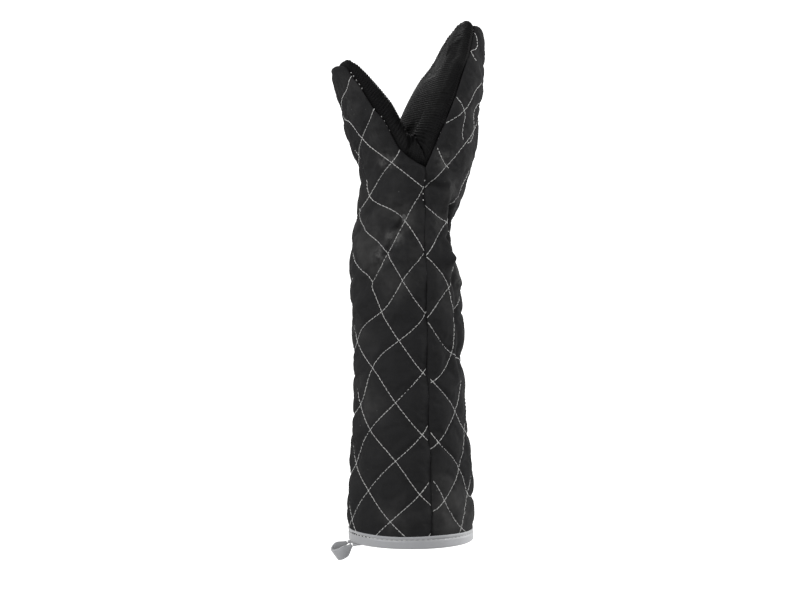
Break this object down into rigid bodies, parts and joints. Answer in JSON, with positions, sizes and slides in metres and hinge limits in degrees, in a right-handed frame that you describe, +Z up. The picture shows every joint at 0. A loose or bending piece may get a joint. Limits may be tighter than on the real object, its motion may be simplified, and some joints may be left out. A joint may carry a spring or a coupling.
{
  "type": "oven mitt",
  "caption": "Elbow-length quilted puppet-style oven mitt with a wide padded mouth between thumb and fingers, a bound cuff and a hanging loop.",
  "frame": {"origin": "centre of the cuff opening, in the plane of the hem", "axes": "+Z up the forearm to the fingertips, +X to the back of the fingers, -X to the thumb, and the long side seams at -Y and +Y"},
  "size_m": [0.1311, 0.1028, 0.4374],
  "materials": {
    "black_twill": "matte black twill quilted with light grey thread",
    "grip_knit": "black ribbed knit with a slight sheen",
    "batting": "matte fibre batting",
    "lining_cloth": "matte black woven cotton",
    "binding_tape": "silver-grey tape with a soft sheen",
    "thread": "light grey sewing thread"
  },
  "bodies": {
    "sleeve": {"back_panel_cover": "black_twill", "back_panel_padding": "batting", "back_panel_lining": "lining_cloth", "thumb_panel_cover": "black_twill", "thumb_panel_padding": "batting", "thumb_panel_lining": "lining_cloth", "mouth_fold_cover": "grip_knit", "mouth_fold_padding": "batting", "mouth_fold_lining": "lining_cloth", "cuff_binding": "binding_tape", "binding_thread": "thread", "near_seam_thread": "thread", "far_seam_thread": "thread", "hanging_loop_tails": "binding_tape", "loop_bar_tack": "thread"},
    "fingers": {"finger_back_cover": "black_twill", "finger_back_padding": "batting", "finger_back_lining": "lining_cloth", "finger_grip_cover": "grip_knit", "finger_grip_padding": "batting", "finger_grip_lining": "lining_cloth"},
    "thumb": {"thumb_back_cover": "black_twill", "thumb_back_padding": "batting", "thumb_back_lining": "lining_cloth", "thumb_grip_cover": "grip_knit", "thumb_grip_padding": "batting", "thumb_grip_lining": "lining_cloth"},
    "loop": {"hanging_loop": "binding_tape"}
  },
  "joints": [
    {"name": "finger_flex", "type": "hinge", "parent": "sleeve", "child": "fingers", "pos_m": [-0.008, 0, 0.323], "axis": [0, -1, 0], "range_deg": [0, 18], "stiffness_Nm_per_rad": 0.3},
    {"name": "thumb_flex", "type": "hinge", "parent": "sleeve", "child": "thumb", "pos_m": [-0.008, 0, 0.323], "axis": [0, 1, 0], "range_deg": [0, 25], "stiffness_Nm_per_rad": 0.3},
    {"name": "loop_swing", "type": "hinge", "parent": "sleeve", "child": "loop", "pos_m": [-0.0521, 0, -0.0008], "axis": [0, 1, 0], "range_deg": [-55, 95], "stiffness_Nm_per_rad": 0.004}
  ]
}
